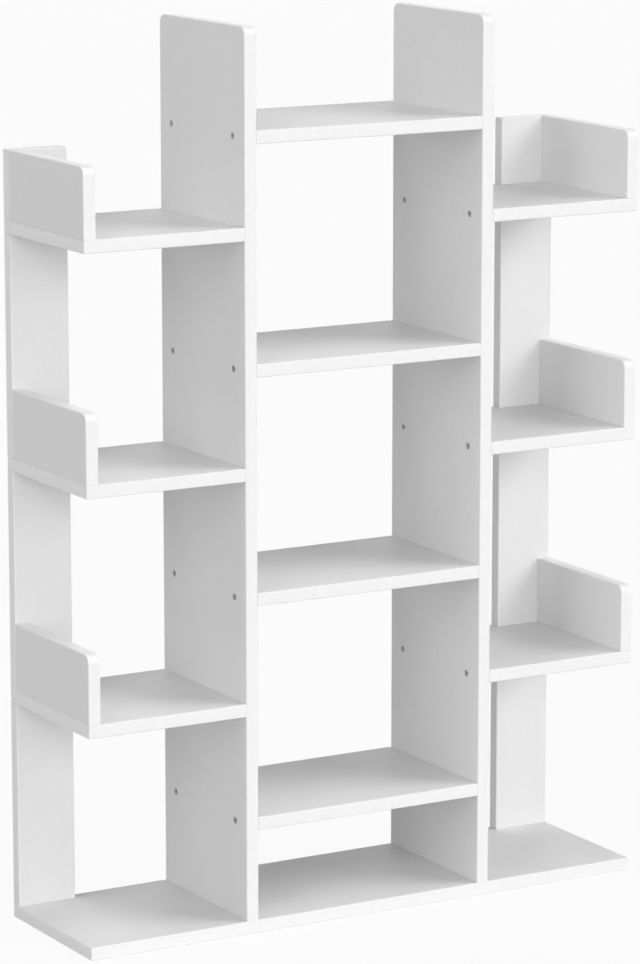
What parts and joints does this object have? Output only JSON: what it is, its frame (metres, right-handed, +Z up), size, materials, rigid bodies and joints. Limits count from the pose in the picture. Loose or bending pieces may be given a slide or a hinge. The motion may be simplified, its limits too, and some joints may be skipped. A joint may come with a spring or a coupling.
{
  "type": "tree shaped bookshelf",
  "caption": "Free-standing tree shaped bookshelf of white laminated board: a trunk of tall uprights with shelves between, staggered side shelves with end guards and rear slats, on a flat base.",
  "frame": {"origin": "on the floor under the middle of the base panel, at the bottom centre of the bounding box", "axes": "+Z up, -Y towards the open front, +Y towards the wall behind, +X to the right as seen from the front"},
  "size_m": [0.86, 0.235, 1.23],
  "materials": {
    "white_laminate": "matt white melamine laminate on particle board, with white edge bands",
    "zinc_steel": "dull grey zinc plating"
  },
  "bodies": {
    "root": {"base_panel": "white_laminate", "left_upright": "white_laminate", "right_upright": "white_laminate", "centre_shelf_1": "white_laminate", "centre_shelf_2": "white_laminate", "centre_shelf_3": "white_laminate", "centre_shelf_4": "white_laminate", "left_shelf_1": "white_laminate", "left_shelf_2": "white_laminate", "left_shelf_3": "white_laminate", "right_shelf_1": "white_laminate", "right_shelf_2": "white_laminate", "right_shelf_3": "white_laminate", "left_guard_1": "white_laminate", "left_guard_2": "white_laminate", "left_guard_3": "white_laminate", "right_guard_1": "white_laminate", "right_guard_2": "white_laminate", "right_guard_3": "white_laminate", "left_slat_1": "white_laminate", "left_slat_2": "white_laminate", "left_slat_3": "white_laminate", "left_slat_4": "white_laminate", "right_slat_1": "white_laminate", "right_slat_2": "white_laminate", "right_slat_3": "white_laminate", "right_slat_4": "white_laminate", "centre_shelf_1_screw_left_front": "zinc_steel", "centre_shelf_1_screw_left_rear": "zinc_steel", "centre_shelf_1_screw_right_front": "zinc_steel", "centre_shelf_1_screw_right_rear": "zinc_steel", "centre_shelf_2_screw_left_front": "zinc_steel", "centre_shelf_2_screw_left_rear": "zinc_steel", "centre_shelf_2_screw_right_front": "zinc_steel", "centre_shelf_2_screw_right_rear": "zinc_steel", "centre_shelf_3_screw_left_front": "zinc_steel", "centre_shelf_3_screw_left_rear": "zinc_steel", "centre_shelf_3_screw_right_front": "zinc_steel", "centre_shelf_3_screw_right_rear": "zinc_steel", "centre_shelf_4_screw_left_front": "zinc_steel", "centre_shelf_4_screw_left_rear": "zinc_steel", "centre_shelf_4_screw_right_front": "zinc_steel", "centre_shelf_4_screw_right_rear": "zinc_steel", "left_shelf_1_screw_front": "zinc_steel", "left_shelf_1_screw_rear": "zinc_steel", "left_shelf_2_screw_front": "zinc_steel", "left_shelf_2_screw_rear": "zinc_steel", "left_shelf_3_screw_front": "zinc_steel", "left_shelf_3_screw_rear": "zinc_steel", "right_shelf_1_screw_front": "zinc_steel", "right_shelf_1_screw_rear": "zinc_steel", "right_shelf_2_screw_front": "zinc_steel", "right_shelf_2_screw_rear": "zinc_steel", "right_shelf_3_screw_front": "zinc_steel", "right_shelf_3_screw_rear": "zinc_steel", "base_screw_left_front": "zinc_steel", "base_screw_left_rear": "zinc_steel", "base_screw_right_front": "zinc_steel", "base_screw_right_rear": "zinc_steel"}
  },
  "joints": []
}
